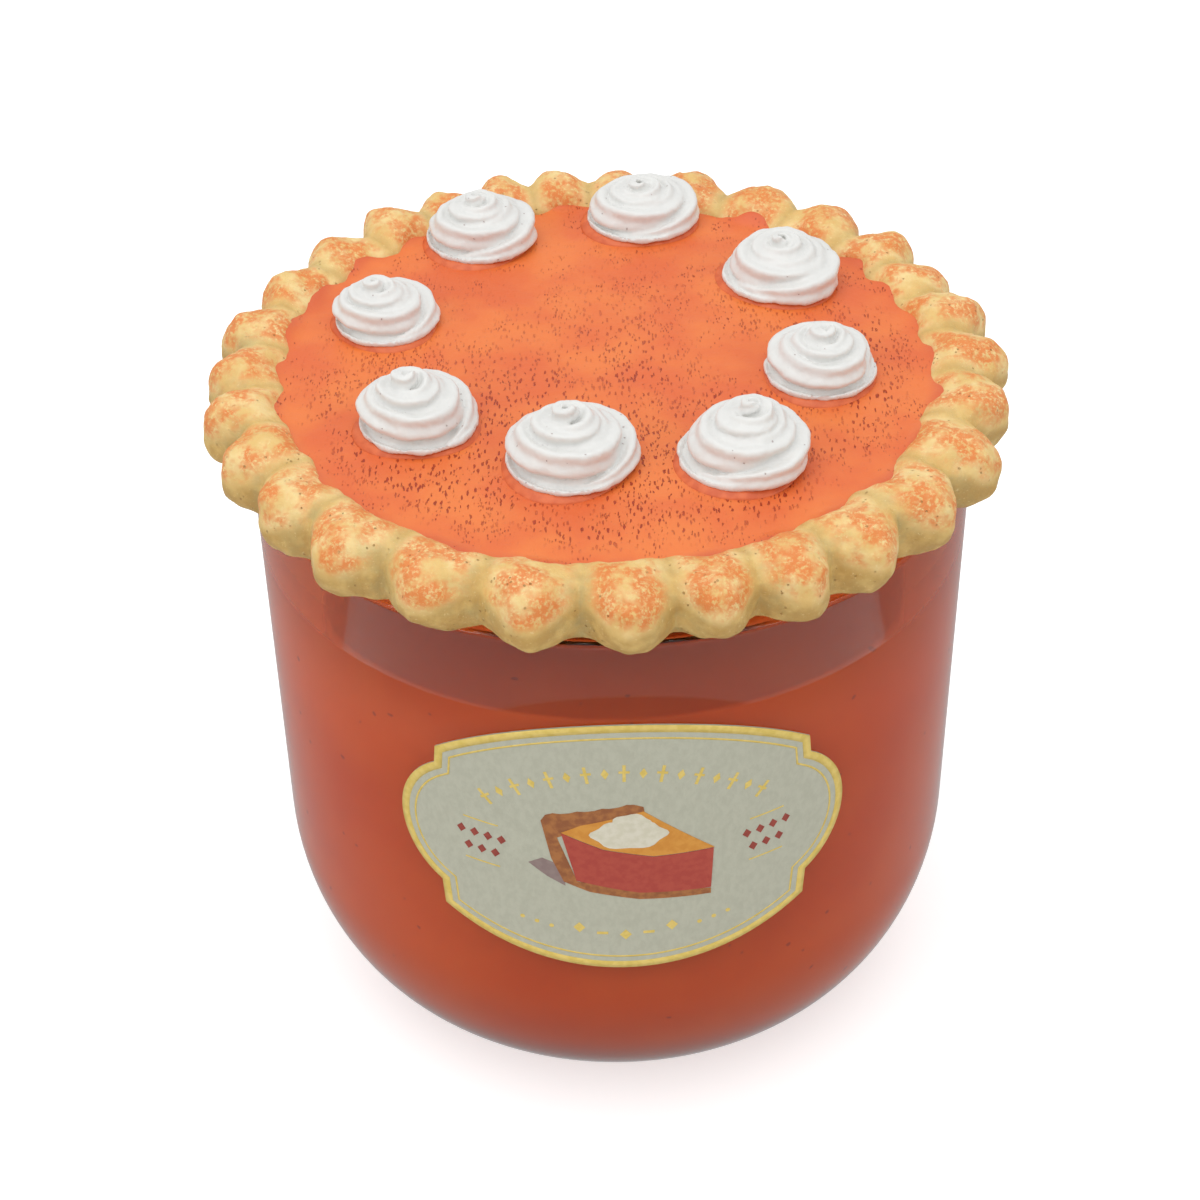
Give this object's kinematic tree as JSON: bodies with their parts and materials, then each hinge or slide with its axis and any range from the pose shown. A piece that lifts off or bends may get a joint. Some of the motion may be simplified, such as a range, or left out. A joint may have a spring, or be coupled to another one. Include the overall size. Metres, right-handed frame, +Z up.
{
  "type": "jar candle with pumpkin pie lid",
  "caption": "Orange wax candle in a clear round-bottomed glass jar with a plaque label, closed by a cast lid shaped as a pumpkin pie with piped swirls.",
  "frame": {"origin": "middle of the flat base that the jar stands on", "axes": "+Z up through the jar and lid, the label faces -Y, +X is to the right as the label is read"},
  "size_m": [0.1171, 0.1167, 0.1135],
  "materials": {
    "clear_glass": "clear, polished",
    "orange_wax": "smooth orange wax, slightly translucent",
    "label_paper": "laid paper in sage grey with a gold border",
    "clear_seal": "translucent soft plastic",
    "painted_crust": "cast resin painted pale yellow, dry-brushed orange",
    "painted_filling": "cast resin painted orange, pitted",
    "painted_cream": "cast resin painted white, satin"
  },
  "bodies": {
    "root": {"jar_glass": "clear_glass", "wax": "orange_wax", "label": "label_paper", "lid_plug": "clear_seal", "pie_crust": "painted_crust", "pie_filling": "painted_filling", "cream_back_left": "painted_cream", "cream_back_right": "painted_cream", "cream_right_back": "painted_cream", "cream_right": "painted_cream", "cream_front_right": "painted_cream", "cream_front": "painted_cream", "cream_front_left": "painted_cream", "cream_left": "painted_cream"}
  },
  "joints": []
}
